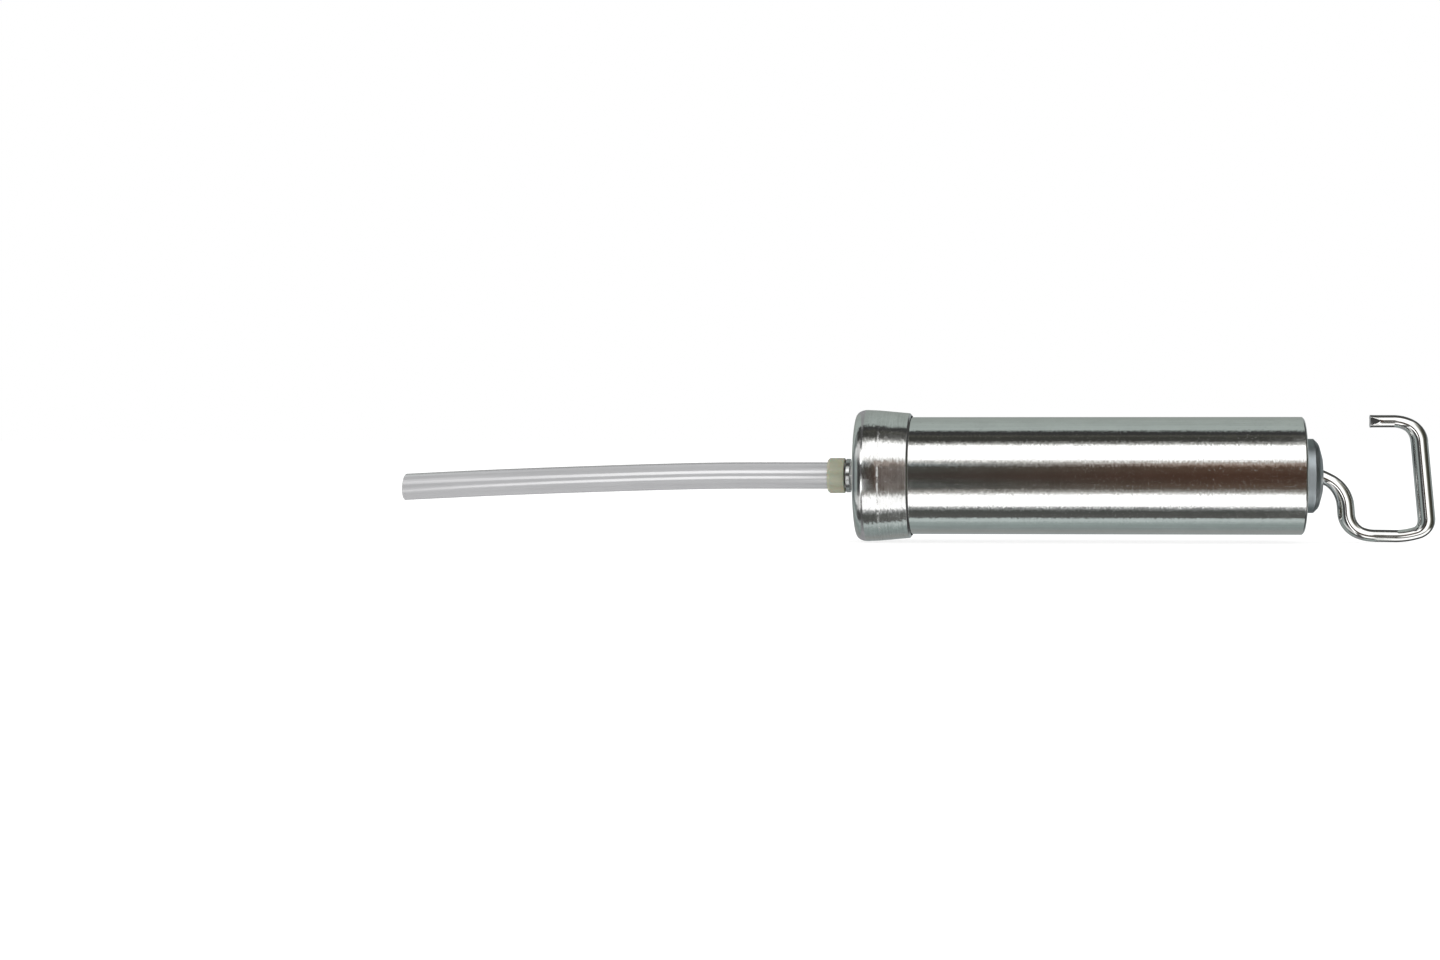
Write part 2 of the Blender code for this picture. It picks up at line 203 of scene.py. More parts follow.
def swaying_normal(nodes, uneven, amount):
    """The surface's normal, leaning to and fro round the barrel's axis but never along it."""
    normal = nodes.add("NewGeometry").outputs["Normal"]
    round_axis = nodes.add("VectorMath", {0: (1, 0, 0), 1: normal}, operation="CROSS_PRODUCT").outputs[0]
    lean = nodes.math("MULTIPLY", nodes.math("SUBTRACT", uneven, 0.5), amount)
    offset = nodes.add("VectorMath", {0: round_axis, "Scale": lean}, operation="SCALE").outputs[0]
    leaning = nodes.add("VectorMath", {0: normal, 1: offset}, operation="ADD").outputs[0]
    return nodes.add("VectorMath", {0: leaning}, operation="NORMALIZE").outputs[0]


PIT_SCALE = 2100.0
PIT_DEPTH = 0.02 * MM
PIT_ROUGHNESS = 0.3
PIT_COLOUR = (0.10, 0.095, 0.09, 1.0)
SEAM_CORE = 0.25 * MM
SEAM_EDGE = 0.65 * MM
SEAM_ROUGHNESS = 0.22


def metal(
    name,
    light,
    dark,
    roughness,
    grain,
    streaks=0.05,
    streak_scale=2600.0,
    mottle=0.04,
    mottle_scale=90.0,
    pits=0.3,
    relief=0.000008,
    sway=0.0,
    sway_scale=1400.0,
    seam=None,
):
    """Worked metal: streaks along the grain, a slight waviness, cloudy wear, and pinhole pits.

    A seam is a dull, patchy ring at that distance behind the cap's face.
    """
    material, nodes, shader = new_material(name)
    stretched, here = grain_vector(nodes, grain)
    fine = nodes.noise(stretched, streak_scale, 4.0, 0.65)
    broad = nodes.noise(stretched, streak_scale * 0.18, 3.0, 0.6)
    cloud = nodes.noise(here, mottle_scale, 5.0, 0.62)
    uneven = nodes.noise(nodes.scaled(here, (1.0, 0.45, 0.45)), sway_scale, 3.0, 0.6)
    speck = nodes.noise(here, PIT_SCALE, 1.0, 0.4)
    pit, _ = nodes.ramp(speck, ((0.0, 1.0), (0.235, 1.0), (0.275, 0.0), (1.0, 0.0)))
    tone = nodes.math("ADD", nodes.math("MULTIPLY", fine, 0.35), nodes.math("MULTIPLY", broad, 0.30))
    tone = nodes.math("ADD", tone, nodes.math("MULTIPLY", cloud, 0.35))
    shade, _ = nodes.ramp(tone, ((0.0, 0.0), (0.36, 0.0), (0.62, 1.0), (1.0, 1.0)), "EASE")
    colour = nodes.mix(shade, (*dark, 1.0), (*light, 1.0))
    pit_amount = nodes.math("MULTIPLY", pit, pits)
    colour = nodes.mix(pit_amount, colour, PIT_COLOUR)
    link(nodes, colour, shader, "Base Color")
    rough = nodes.math("ADD", nodes.math("MULTIPLY", fine, streaks), roughness - (streaks + mottle) / 2)
    rough = nodes.math("ADD", rough, nodes.math("MULTIPLY", cloud, mottle))
    rough = nodes.math("ADD", rough, nodes.math("MULTIPLY", pit_amount, PIT_ROUGHNESS))
    if seam is not None:
        behind = nodes.add("SeparateXYZ", {0: here}).outputs[0]
        off_seam = nodes.math("ABSOLUTE", nodes.math("SUBTRACT", behind, seam))
        patchy, _ = nodes.ramp(nodes.noise(here, 190.0, 4.0, 0.7), ((0.44, 0.0), (0.60, 1.0)))
        dull = nodes.math("MULTIPLY", fading(nodes, off_seam, SEAM_CORE, SEAM_EDGE), patchy)
        rough = nodes.math("ADD", rough, nodes.math("MULTIPLY", dull, SEAM_ROUGHNESS))
    link(nodes, rough, shader, "Roughness")
    normal = swaying_normal(nodes, uneven, sway) if sway else None
    lines = nodes.math("ADD", fine, nodes.math("MULTIPLY", broad, 1.4))
    normal = nodes.bump(lines, relief, normal=normal)
    if pits:
        normal = nodes.bump(nodes.math("SUBTRACT", 1.0, pit), PIT_DEPTH, pits, normal)
    link(nodes, normal, shader, "Normal")
    shader.inputs["Metallic"].default_value = 1.0
    return material


def rubber(name):
    material, nodes, shader = new_material(name)
    here = nodes.add("TexCoord").outputs["Object"]
    grain = nodes.noise(here, 1800.0, 4.0, 0.7)
    cloud = nodes.noise(here, 140.0, 3.0)
    colour, _ = nodes.ramp(cloud, ((0.3, (0.018, 0.018, 0.019)), (0.7, (0.034, 0.033, 0.032))))
    link(nodes, colour, shader, "Base Color")
    rough, _ = nodes.ramp(grain, ((0.2, 0.52), (0.8, 0.74)))
    link(nodes, rough, shader, "Roughness")
    link(nodes, nodes.bump(grain, 0.00005, 0.6), shader, "Normal")
    return material


def nylon(name):
    """Natural moulded nylon: a translucent body with a faint flow pattern."""
    material, nodes, shader = new_material(name)
    here = nodes.add("TexCoord").outputs["Object"]
    flow = nodes.noise(nodes.scaled(here, (0.35, 1.0, 1.0)), 260.0, 4.0, 0.55)
    colour, _ = nodes.ramp(flow, ((0.30, (0.36, 0.37, 0.27)), (0.72, (0.46, 0.47, 0.36))))
    link(nodes, colour, shader, "Base Color")
    grain = nodes.noise(here, 1500.0, 3.0, 0.6)
    rough, _ = nodes.ramp(grain, ((0.2, 0.26), (0.8, 0.36)))
    link(nodes, rough, shader, "Roughness")
    link(nodes, nodes.bump(grain, 0.00003, 0.5), shader, "Normal")
    shader.inputs["Transmission Weight"].default_value = 0.12
    shader.inputs["Subsurface Weight"].default_value = 0.35
    shader.inputs["Subsurface Scale"].default_value = 0.003
    shader.inputs["IOR"].default_value = 1.50
    return material


def vinyl(name):
    """Milky grey hose with a glossy skin, faint drawing lines along it and a painted shade line along the
    top.
    """
    material, nodes, shader = new_material(name)
    on_hose = nodes.add("Attribute", attribute_name="on_wire").outputs["Vector"]
    lines = nodes.noise(nodes.scaled(on_hose, (0.015, 1.0, 1.0)), 1500.0, 3.0, 0.55)
    cloud = nodes.noise(nodes.scaled(on_hose, (0.3, 1.0, 1.0)), 120.0, 4.0, 0.55)
    tone = nodes.math("ADD", nodes.math("MULTIPLY", lines, 0.5), nodes.math("MULTIPLY", cloud, 0.5))
    colour, _ = nodes.ramp(tone, ((0.34, (0.45, 0.45, 0.458)), (0.66, (0.50, 0.50, 0.51))))
    # Painted shade along the top: a clear wall looks darker there, where it is seen edge on, and this
    # paints that dark line into the colour.
    rise = nodes.add("SeparateXYZ", {0: on_hose}).outputs[2]
    shade = fading(nodes, rise, 0.86 * HOSE_R, 0.95 * HOSE_R)
    colour = nodes.mix(shade, (0.30, 0.30, 0.30, 1.0), colour)
    link(nodes, colour, shader, "Base Color")
    rough, _ = nodes.ramp(cloud, ((0.25, 0.10), (0.75, 0.14)))
    link(nodes, rough, shader, "Roughness")
    shader.inputs["IOR"].default_value = 1.50
    shader.inputs["Coat Weight"].default_value = 1.0
    shader.inputs["Coat IOR"].default_value = 2.4
    shader.inputs["Coat Roughness"].default_value = 0.10
    return material


MATERIALS = {
    "barrel_metal": metal(
        "barrel_metal",
        (0.93, 0.93, 0.92),
        (0.82, 0.82, 0.81),
        0.05,
        "drawn",
        streaks=0.03,
        mottle=0.02,
        sway=0.15,
        sway_scale=1700.0,
    ),
    "cap_metal": metal(
        "cap_metal",
        (0.90, 0.90, 0.89),
        (0.74, 0.74, 0.73),
        0.12,
        "turned",
        streaks=0.04,
        streak_scale=1500.0,
        mottle=0.05,
        mottle_scale=210.0,
        pits=0.4,
        relief=0.000003,
        sway=0.18,
        sway_scale=1000.0,
        seam=12.4 * MM,
    ),
    "fitting_plate": metal(
        "fitting_plate", (0.66, 0.67, 0.66), (0.54, 0.55, 0.54), 0.18, "turned", relief=0.000002
    ),
    "guide_metal": metal(
        "guide_metal",
        (0.40, 0.44, 0.46),
        (0.33, 0.365, 0.38),
        0.34,
        "turned",
        streaks=0.04,
        mottle_scale=260.0,
        pits=0.1,
        relief=0.000002,
    ),
    "handle_wire": metal(
        "handle_wire",
        (0.92, 0.92, 0.90),
        (0.76, 0.76, 0.74),
        0.07,
        "wire",
        streaks=0.06,
        streak_scale=1800.0,
        mottle=0.05,
        mottle_scale=160.0,
        pits=0.0,
        relief=0.000002,
    ),
    "hardware_steel": metal(
        "hardware_steel",
        (0.72, 0.72, 0.70),
        (0.52, 0.52, 0.51),
        0.28,
        "turned",
        streaks=0.12,
        mottle=0.10,
        relief=0.000012,
    ),
    "seal_rubber": rubber("seal_rubber"),
    "collar_nylon": nylon("collar_nylon"),
    "hose_vinyl": vinyl("hose_vinyl"),
}


# ---------------------------------------------------------------- mesh helpers


def new_piece(name, bm, slot, body, nodes, smooth_angle=35.0):
    """Makes a piece from a closed mesh. Its origin is on the barrel's axis at the cap's face."""
    bmesh.ops.recalc_face_normals(bm, faces=bm.faces)
    if bm.calc_volume(signed=True) < 0:
        bmesh.ops.reverse_faces(bm, faces=bm.faces)
    origin = place(0, 0, 0)
    bmesh.ops.translate(bm, vec=-origin, verts=bm.verts)
    mesh = bpy.data.meshes.new(name)
    bm.to_mesh(mesh)
    bm.free()
    mesh.shade_smooth()
    mesh.set_sharp_from_angle(angle=math.radians(smooth_angle))
    mesh.materials.append(MATERIALS[slot])
    made = bpy.data.objects.new(name, mesh)
    made.location = origin
    SCENE.collection.objects.link(made)
    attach(made, body)
    if nodes:
        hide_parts(*nodes)
    return made


def rounded(corners, steps=5):
    """A closed profile from corners of (along, radius, fillet), with each fillet as an arc.

    A point just outside each arc keeps the straight stretches' shading straight.
    """
    profile = []
    count = len(corners)
    for index, (x, r, fillet) in enumerate(corners):
        corner = Vector((x, r))
        to_last = Vector(corners[index - 1][:2]) - corner
        to_next = Vector(corners[(index + 1) % count][:2]) - corner
        if fillet <= 0:
            profile.append((x, r))
            continue
        half = to_last.angle(to_next) / 2
        reach = min(fillet / math.tan(half), 0.44 * to_last.length, 0.44 * to_next.length)
        radius = reach * math.tan(half)
        margin = min(0.3 * reach, 0.3 * MM)
        start = corner + to_last.normalized() * reach
        end = corner + to_next.normalized() * reach
        inward = (to_last.normalized() + to_next.normalized()).normalized()
        middle = corner + inward * radius / math.sin(half)
        first = start - middle
        last = end - middle
        sweep_angle = first.angle(last)
        points = [start + to_last.normalized() * min(margin, 0.1 * to_last.length)]
        for step in range(steps + 1):
            t = step / steps
            a = math.sin((1 - t) * sweep_angle) / math.sin(sweep_angle)
            b = math.sin(t * sweep_angle) / math.sin(sweep_angle)
            points.append(middle + first * a + last * b)
        points.append(end + to_next.normalized() * min(margin, 0.1 * to_next.length))
        profile += [(point.x, point.y) for point in points]
    return profile


def hex_radius(corner_r, angle):
    """Distance from the middle of a hexagon to its side, with one corner straight up."""
    side_angle = (angle + math.radians(30)) % math.radians(60) - math.radians(30)
    return corner_r * math.cos(math.radians(30)) / math.cos(side_angle)


def lathe(profile, segments):
    """A closed mesh turned round the barrel's axis. A third value cuts that ring to a hexagon."""
    bm = bmesh.new()
    rings = []
    for point in profile:
        ring = []
        for index in range(segments):
            angle = 2 * math.pi * index / segments
            radius = point[1]
            if len(point) == 3:
                radius = min(radius, hex_radius(point[2], angle))
            ring.append(bm.verts.new(place(point[0], radius * math.sin(angle), radius * math.cos(angle))))
        rings.append(ring)
    for first, second in zip(rings, rings[1:] + rings[:1]):
        for index in range(segments):
            after = (index + 1) % segments
            bm.faces.new((first[index], first[after], second[after], second[index]))
    return bm


def turned(name, profile, slot, body, nodes=(), segments=192, smooth_angle=35.0):
    return new_piece(name, lathe(profile, segments), slot, body, nodes, smooth_angle)


THREAD_STEPS = 72
THREAD_FADE_STEPS = 12
THREAD_SUNK = 0.2 * MM


def thread(name, root_r, crest_r, start, pitch, turns, half_base, slot, body, phase=0.0):
    """A helical ridge sunk a little into its wall, which fades out at both ends."""
    bm = bmesh.new()
    outward = 1 if crest_r > root_r else -1
    base = root_r - outward * THREAD_SUNK
    steps = round(turns * THREAD_STEPS)
    rings = []
    for index in range(steps + 1):
        angle = 2 * math.pi * index / THREAD_STEPS + phase
        middle = start + pitch * index / THREAD_STEPS
        rise = min(1.0, (index + 1) / THREAD_FADE_STEPS, (steps - index + 1) / THREAD_FADE_STEPS)
        crest = root_r + (crest_r - root_r) * rise
        ring = []
        for offset, radius in (
            (-half_base, base),
            (-0.3 * half_base, crest),
            (0.3 * half_base, crest),
            (half_base, base),
        ):
            point = place(middle + offset, radius * math.cos(angle), radius * math.sin(angle))
            ring.append(bm.verts.new(point))
        rings.append(ring)
    for first, second in zip(rings, rings[1:]):
        for index in range(4):
            after = (index + 1) % 4
            bm.faces.new((first[index], first[after], second[after], second[index]))
    bm.faces.new(rings[0])
    bm.faces.new(rings[-1])
    return new_piece(name, bm, slot, body, ())


def sweep(sections, closed):
    """A tube from rings of points. A closed tube's last ring joins its first, else it has end faces."""
    bm = bmesh.new()
    layer = bm.verts.layers.float_vector.new("on_wire")
    rings = []
    for section in sections:
        ring = []
        for point, on_wire in section:
            vert = bm.verts.new(point)
            vert[layer] = on_wire
            ring.append(vert)
        rings.append(ring)
    pairs = list(zip(rings, rings[1:]))
    if closed:
        pairs.append((rings[-1], rings[0]))
    for first, second in pairs:
        for index in range(len(first)):
            after = (index + 1) % len(first)
            bm.faces.new((first[index], first[after], second[after], second[index]))
    if not closed:
        bm.faces.new(rings[0])
        bm.faces.new(rings[-1])
    return bm


# ---------------------------------------------------------------- hose and collar

HOSE_WALL = 1.7 * MM
HOSE_SIDES = 96
EDGE_SOFTNESS = 0.25 * MM
TIP_SLANT = 0.10
# The hose's route: distance in front of the cap's face, and how far it has dropped by there.
HOSE_ROUTE = (
    (6.3, 0.0),
    (20.0, 0.0),
    (34.0, 0.0),
    (48.0, 0.0),
    (62.0, 0.05),
    (76.0, 0.25),
    (90.0, 0.57),
    (104.0, 0.95),
    (118.0, 1.38),
    (132.0, 1.85),
    (146.0, 2.33),
    (160.0, 2.85),
    (174.0, 3.40),
    (188.0, 4.00),
    (202.0, 4.66),
    (213.0, 5.20),
    (224.9, 5.80),
)


def smooth_route(points, per_span):
    """Points on a Catmull-Rom curve through the given ones."""
    dense = []
    padded = [2 * points[0] - points[1]] + points + [2 * points[-1] - points[-2]]
    for before, start, end, after in zip(padded, padded[1:], padded[2:], padded[3:]):
        for index in range(per_span):
            t = index / per_span
            bend = (2 * before - 5 * start + 4 * end - after) * t * t
            twist = (3 * start - before - 3 * end + after) * t * t * t
            dense.append((2 * start + (end - before) * t + bend + twist) / 2)
    dense.append(points[-1])
    return dense


def make_hose(collar):
    """A hollow tube, with a slightly softened cut at each end. The free end's cut slants a little."""
    route = smooth_route([place(-front * MM, 0, -drop * MM) for front, drop in HOSE_ROUTE], 8)
    walked = [0.0]
    for a, b in zip(route, route[1:]):
        walked.append(walked[-1] + (b - a).length)
    last = len(route) - 1
    # Each ring's place on the route, its radius, and how far it is moved along.
    rings = [(0, HOSE_R - EDGE_SOFTNESS, 0.0), (0, HOSE_R, EDGE_SOFTNESS)]
    rings += [(index, HOSE_R, 0.0) for index in range(1, last)]
    rings += [(last, HOSE_R, -EDGE_SOFTNESS), (last, HOSE_R - EDGE_SOFTNESS, 0.0)]
    rings += [(index, HOSE_R - HOSE_WALL, 0.0) for index in range(last, -1, -1)]
    sections = []
    for index, radius, moved in rings:
        forward = (route[min(last, index + 1)] - route[max(0, index - 1)]).normalized()
        up = Vector((0, 1, 0)).cross(forward).normalized()
        section = []
        for turn in range(HOSE_SIDES):
            angle = 2 * math.pi * turn / HOSE_SIDES
            sideways = radius * math.cos(angle)
            rise = radius * math.sin(angle)
            point = route[index] + forward * moved + Vector((0, sideways, 0)) + up * rise
            if index == last:
                point -= forward * rise * TIP_SLANT
            section.append((point, (walked[index], sideways, rise)))
        sections.append(section)
    hose = new_piece("hose_tube", sweep(sections, True), "hose_vinyl", "cap_body", ["hose"])


def make_collar():
    front = along("hose_collar", 0)
    rear = along("hose_collar", 1)
    radius = outer_radius("hose_collar")
    bore = HOSE_R + 0.3 * MM
    corners = (
        (front, bore, 0.25 * MM),
        (front, radius - 0.9 * MM, 0.5 * MM),
        (front + 1.0 * MM, radius, 0.7 * MM),
        (rear, radius, 0.6 * MM),
        (rear, bore, 0.25 * MM),
    )
    return turned("collar", rounded(corners, 6), "collar_nylon", "cap_body", ["hose_collar"])


make_hose(make_collar())


# ---------------------------------------------------------------- fitting

HEX_CORNER_R = 8.25 * MM
SHOULDER_FRONT = -5.5 * MM
SHOULDER_REAR = -3.4 * MM
NIPPLE_R = 3.9 * MM
BARB_R = 4.3 * MM
SHANK_R = 6.2 * MM
FITTING_BORE_R = 3.0 * MM
BARB_PITCH = 6.0 * MM
FINE_THREAD_RISE = 0.12 * MM
FINE_THREAD_SUNK = 0.02 * MM


def make_fitting():
    tip = along("hose_fitting", 0)
    shank_end = along("hose_fitting", 1)
    profile = [(tip, FITTING_BORE_R), (tip, NIPPLE_R - 0.35 * MM), (tip + 0.2 * MM, NIPPLE_R - 0.2 * MM)]
    for index in range(3):
        crest = tip + BARB_PITCH * (index + 0.6)
        profile += [(crest - 0.15 * MM, BARB_R), (crest, BARB_R - 0.03 * MM), (crest + 0.3 * MM, NIPPLE_R)]
    shoulder = rounded(
        [
            (SHOULDER_FRONT, NIPPLE_R, 0.0),
            (SHOULDER_FRONT, HEX_CORNER_R, 0.45 * MM),
            (SHOULDER_REAR, HEX_CORNER_R, 0.12 * MM),
            (SHOULDER_REAR, HEX_CORNER_R - 0.3 * MM, 0.0),
        ],
        4,
    )
    profile += shoulder
    profile += [
        (SHOULDER_REAR, HEX_CORNER_R - 0.3 * MM, HEX_CORNER_R - 0.1 * MM),
        (SHOULDER_REAR + 0.2 * MM, HEX_CORNER_R, HEX_CORNER_R),
        (-0.5 * MM, HEX_CORNER_R, HEX_CORNER_R),
        (-0.3 * MM, HEX_CORNER_R - 0.4 * MM, HEX_CORNER_R),
        (-0.3 * MM, SHANK_R),
        (shank_end - 0.5 * MM, SHANK_R),
        (shank_end, SHANK_R - 0.5 * MM),
        (shank_end, FITTING_BORE_R),
    ]
    turned("fitting", profile, "fitting_plate", "cap_body", ["hose_fitting"], 192, 25.0)
    thread(
        "fitting_thread",
        SHANK_R - FINE_THREAD_SUNK,
        SHANK_R + FINE_THREAD_RISE,
        start=0.9 * MM,
        pitch=1.4 * MM,
        turns=5.0,
        half_base=0.45 * MM,
        slot="fitting_plate",
        body="cap_body",
    )


make_fitting()


# ---------------------------------------------------------------- cap and barrel

CAP_WALL = 1.6 * MM
CAP_BORE_R = 29.7 * MM
CAP_RIM_R = 30.5 * MM
CAP_HOLE_R = 6.5 * MM
CAP_LIP = 0.9 * MM
CAP_BEND_LENGTH = 5.1 * MM
CAP_BEND_HEIGHT = 3.1 * MM
BARREL_R = 28.575 * MM
BARREL_WALL = 1.2 * MM
REAR_EDGE_R = 2.4 * MM
CREASE_ANGLE = math.radians(28)
THREAD_PITCH = 3.0 * MM
THREAD_START = 5.5 * MM
THREAD_HALF_BASE = 0.7 * MM
CAP_THREAD_CREST_R = 28.95 * MM
BARREL_THREAD_CREST_R = 29.35 * MM
GUIDE_HOLE_R = 10.0 * MM


def make_cap():
    """A spun cap: a rounded front edge, a slight taper and a rolled rim."""
    radius = outer_radius("front_cap")
    length = along("front_cap", 1)
    outside = []
    for step in range(13):
        angle = math.radians(7.5 * step)
        x = CAP_BEND_LENGTH * (1 - math.cos(angle))
        outside.append((x, radius - CAP_BEND_HEIGHT * (1 - math.sin(angle)), 0.0))
    outside += [
        (11.0 * MM, radius - 0.25 * MM, 14.0 * MM),
        (length - CAP_LIP, CAP_RIM_R, 0.08 * MM),
        (length, CAP_RIM_R - 1.05 * MM, 0.08 * MM),
    ]
    inside = [
        (length, CAP_RIM_R - 1.25 * MM, 0.05 * MM),
        (length - 0.5 * MM, CAP_BORE_R, 0.1 * MM),
        (CAP_WALL, CAP_BORE_R, 0.6 * MM),
        (CAP_WALL, CAP_HOLE_R, 0.15 * MM),
        (0.0, CAP_HOLE_R, 0.25 * MM),
    ]
    turned("cap", rounded(outside + inside, 7), "cap_metal", "cap_body", ["front_cap"], 256, 40.0)
    thread(
        "cap_thread",
        CAP_BORE_R,
        CAP_THREAD_CREST_R,
        start=THREAD_START + THREAD_PITCH,
        pitch=THREAD_PITCH,
        turns=2.0,
        half_base=THREAD_HALF_BASE,
        slot="cap_metal",
        body="cap_body",
        phase=math.pi,
    )


def make_barrel():
    """A drawn tube, closed at the rear by its own wall."""
    front = along("barrel", 0)
    rear = along("barrel", 1)
    bore = BARREL_R - BARREL_WALL
    # The rear edge's rounding starts with a slight crease.
    rounding = []
    for step in range(9):
        angle = CREASE_ANGLE + (math.pi / 2 - CREASE_ANGLE) * step / 8
        x = rear - REAR_EDGE_R * (1 - math.sin(angle))
        r = BARREL_R - REAR_EDGE_R * (math.cos(CREASE_ANGLE) - math.cos(angle))
        rounding.append((x, r, 0.0))
    corners = [
        (front, bore, 0.2 * MM),
        (front, BARREL_R, 0.3 * MM),
        (rounding[0][0] - 0.05 * MM, BARREL_R, 0.0),
        *rounding,
        (rear, GUIDE_HOLE_R, 0.2 * MM),
        (rear - BARREL_WALL, GUIDE_HOLE_R, 0.2 * MM),
        (rear - BARREL_WALL, bore, 0.8 * MM),
    ]
    turned("barrel_tube", rounded(corners, 8), "barrel_metal", "barrel_body", ["barrel"], 256, 20.0)
    thread(
        "barrel_thread",
        BARREL_R,
        BARREL_THREAD_CREST_R,
        start=THREAD_START,
        pitch=THREAD_PITCH,
        turns=3.0,
        half_base=THREAD_HALF_BASE,
        slot="barrel_metal",
        body="barrel_body",
    )


make_cap()
make_barrel()


# ---------------------------------------------------------------- rod guide and rod

GUIDE_R = 18.0 * MM
GUIDE_BORE_R = 4.3 * MM
GUIDE_MOUTH_R = 7.0 * MM
ROD_R = 3.9 * MM
ROD_END_R = 3.5 * MM
ROD_THREAD_END = 41.0 * MM
RUN_HALF_HEIGHT = 2.98 * MM
GRIP_HALF_HEIGHT = 4.25 * MM
PRESSED_AFTER = 9.0 * MM
GUIDE_DOME = 4.3 * MM
BEND_START = along("rod_guide", 1) - GUIDE_DOME
WIRE_SIDES = 96
ROD_TIP_CHAMFER = 0.4 * MM
SHEAR_LENGTH = 4.4 * MM
SHEAR_DEPTH = 1.5 * MM
FLARE_LENGTH = 3.0 * MM
FLARE = 0.03
# The wire's bends in order: a radius and an angle, positive upwards, or a straight's length.
WIRE_BENDS = (
    ("bend", 15.8, -85.2),
    ("straight", 3.9),
    ("bend", 11.0, 66.1),
    ("bend", 19.4, 18.3),
    ("straight", 9.8),
    ("bend", 33.9, 17.8),
    ("bend", 6.9, 78.4),
    ("straight", 37.2),
    ("bend", 10.2, 60.0),
    ("bend", 15.8, 24.6),
    ("straight", 11.2),
)


def make_rod_guide():
    neck_end = along("rod_guide", 0)
    rear = along("rod_guide", 1)
    flange = along("barrel", 1) + 0.3 * MM
    neck = GUIDE_HOLE_R - 0.3 * MM
    corners = [
        (neck_end, GUIDE_BORE_R, 0.3 * MM),
        (neck_end, neck, 0.4 * MM),
        (flange, neck, 0.0),
        (flange, GUIDE_R, 0.25 * MM),
        (rear - GUIDE_DOME, GUIDE_R, 0.6 * MM),
        (rear - 1.8 * MM, 15.6 * MM, 4.0 * MM),
        (rear, 9.2 * MM, 3.0 * MM),
        (rear, GUIDE_MOUTH_R, 0.8 * MM),
        (BEND_START, GUIDE_BORE_R, 1.5 * MM),
    ]
    turned("guide", rounded(corners, 6), "guide_metal", "barrel_body", ["rod_guide"], 192, 35.0)


def wire_path():
    """The wire's centreline in the handle's plane, as (along, up, heading, distance from the bend)."""
    points = []
    position = along("rod_handle", 0)
    while position < BEND_START:
        points.append((position, 0.0, 0.0, position - BEND_START))
        position += 2.0 * MM
    x = BEND_START
    up = 0.0
    heading = 0.0
    distance = 0.0
    points.append((x, up, heading, distance))
    for step in WIRE_BENDS:
        if step[0] == "straight":
            length = step[1] * MM
            count = max(2, round(length / (1.0 * MM)))
            turn = 0.0
            chord = length / count
        else:
            count = max(4, round(abs(step[2]) / 2.0))
            turn = math.radians(step[2]) / count
            chord = 2 * step[1] * MM * math.sin(abs(turn) / 2)
        for _ in range(count):
            x += chord * math.cos(heading + turn / 2)
            up += chord * math.sin(heading + turn / 2)
            heading += turn
            distance += chord
            points.append((x, up, heading, distance))
    return points


def wire_half_height(heading, distance):
    """Half the wire's height in the handle's plane. The rod is round before the first bend."""
    run = RUN_HALF_HEIGHT + (GRIP_HALF_HEIGHT - RUN_HALF_HEIGHT) * math.sin(heading) ** 2
    pressed = min(1.0, max(0.0, distance / PRESSED_AFTER))
    return ROD_R + (run - ROD_R) * pressed * pressed * (3 - 2 * pressed)


def make_handle():
    """One rod bent into a hook, with a sheared free end and a threaded front end."""
    points = wire_path()
    end_distance = points[-1][3]
    sections = []
    front = points[0][0]
    for x, up, heading, distance in points:
        half_height = wire_half_height(heading, distance)
        half_width = ROD_R
        if x < ROD_THREAD_END and distance < 0:
            half_height = half_width = ROD_END_R
        if x == front:
            half_height = half_width = ROD_END_R - ROD_TIP_CHAMFER
        left = end_distance - distance
        flare = max(0.0, 1.0 - left / FLARE_LENGTH)
        half_height *= 1.0 + FLARE * flare * flare
        cut = max(0.0, 1.0 - left / SHEAR_LENGTH)
        section = []
        for index in range(WIRE_SIDES):
            angle = 2 * math.pi * index / WIRE_SIDES
            sideways = half_width * math.cos(angle)
            out = half_height * math.sin(angle)
            limit = half_width - (SHEAR_DEPTH - 0.25 * abs(out)) * cut
            sideways = max(-limit, min(limit, sideways))
            centre = place(x - out * math.sin(heading), sideways, up + out * math.cos(heading))
            section.append((centre, (distance, sideways, out)))
        sections.append(section)
    new_piece(
        "rod_and_handle", sweep(sections, False), "handle_wire", "plunger_body", ["rod_handle"], 32.0
    )
    thread(
        "rod_thread",
        ROD_END_R - FINE_THREAD_SUNK,
        ROD_END_R + FINE_THREAD_RISE,
        start=along("rod_handle", 0) + 0.8 * MM,
        pitch=1.25 * MM,
        turns=23.0,
        half_base=0.4 * MM,
        slot="handle_wire",
        body="plunger_body",
    )


make_rod_guide()
make_handle()


# ---------------------------------------------------------------- inner pieces

ROD_HOLE_R = 3.8 * MM
SHANK_HOLE_R = 6.5 * MM
GASKET_HOLE_R = 24.0 * MM
CUP_BORE_R = 24.4 * MM
CUP_THICKNESS = 2.5 * MM


def make_washer(node, hole_r, slot, body):
    front = along(node, 0)
    rear = along(node, 1)
    edge = 0.15 * (rear - front)
    radius = outer_radius(node)
    corners = [(front, hole_r, edge), (front, radius, edge), (rear, radius, edge), (rear, hole_r, edge)]
    turned(node + "_turned", rounded(corners, 4), slot, body, [node], 128)


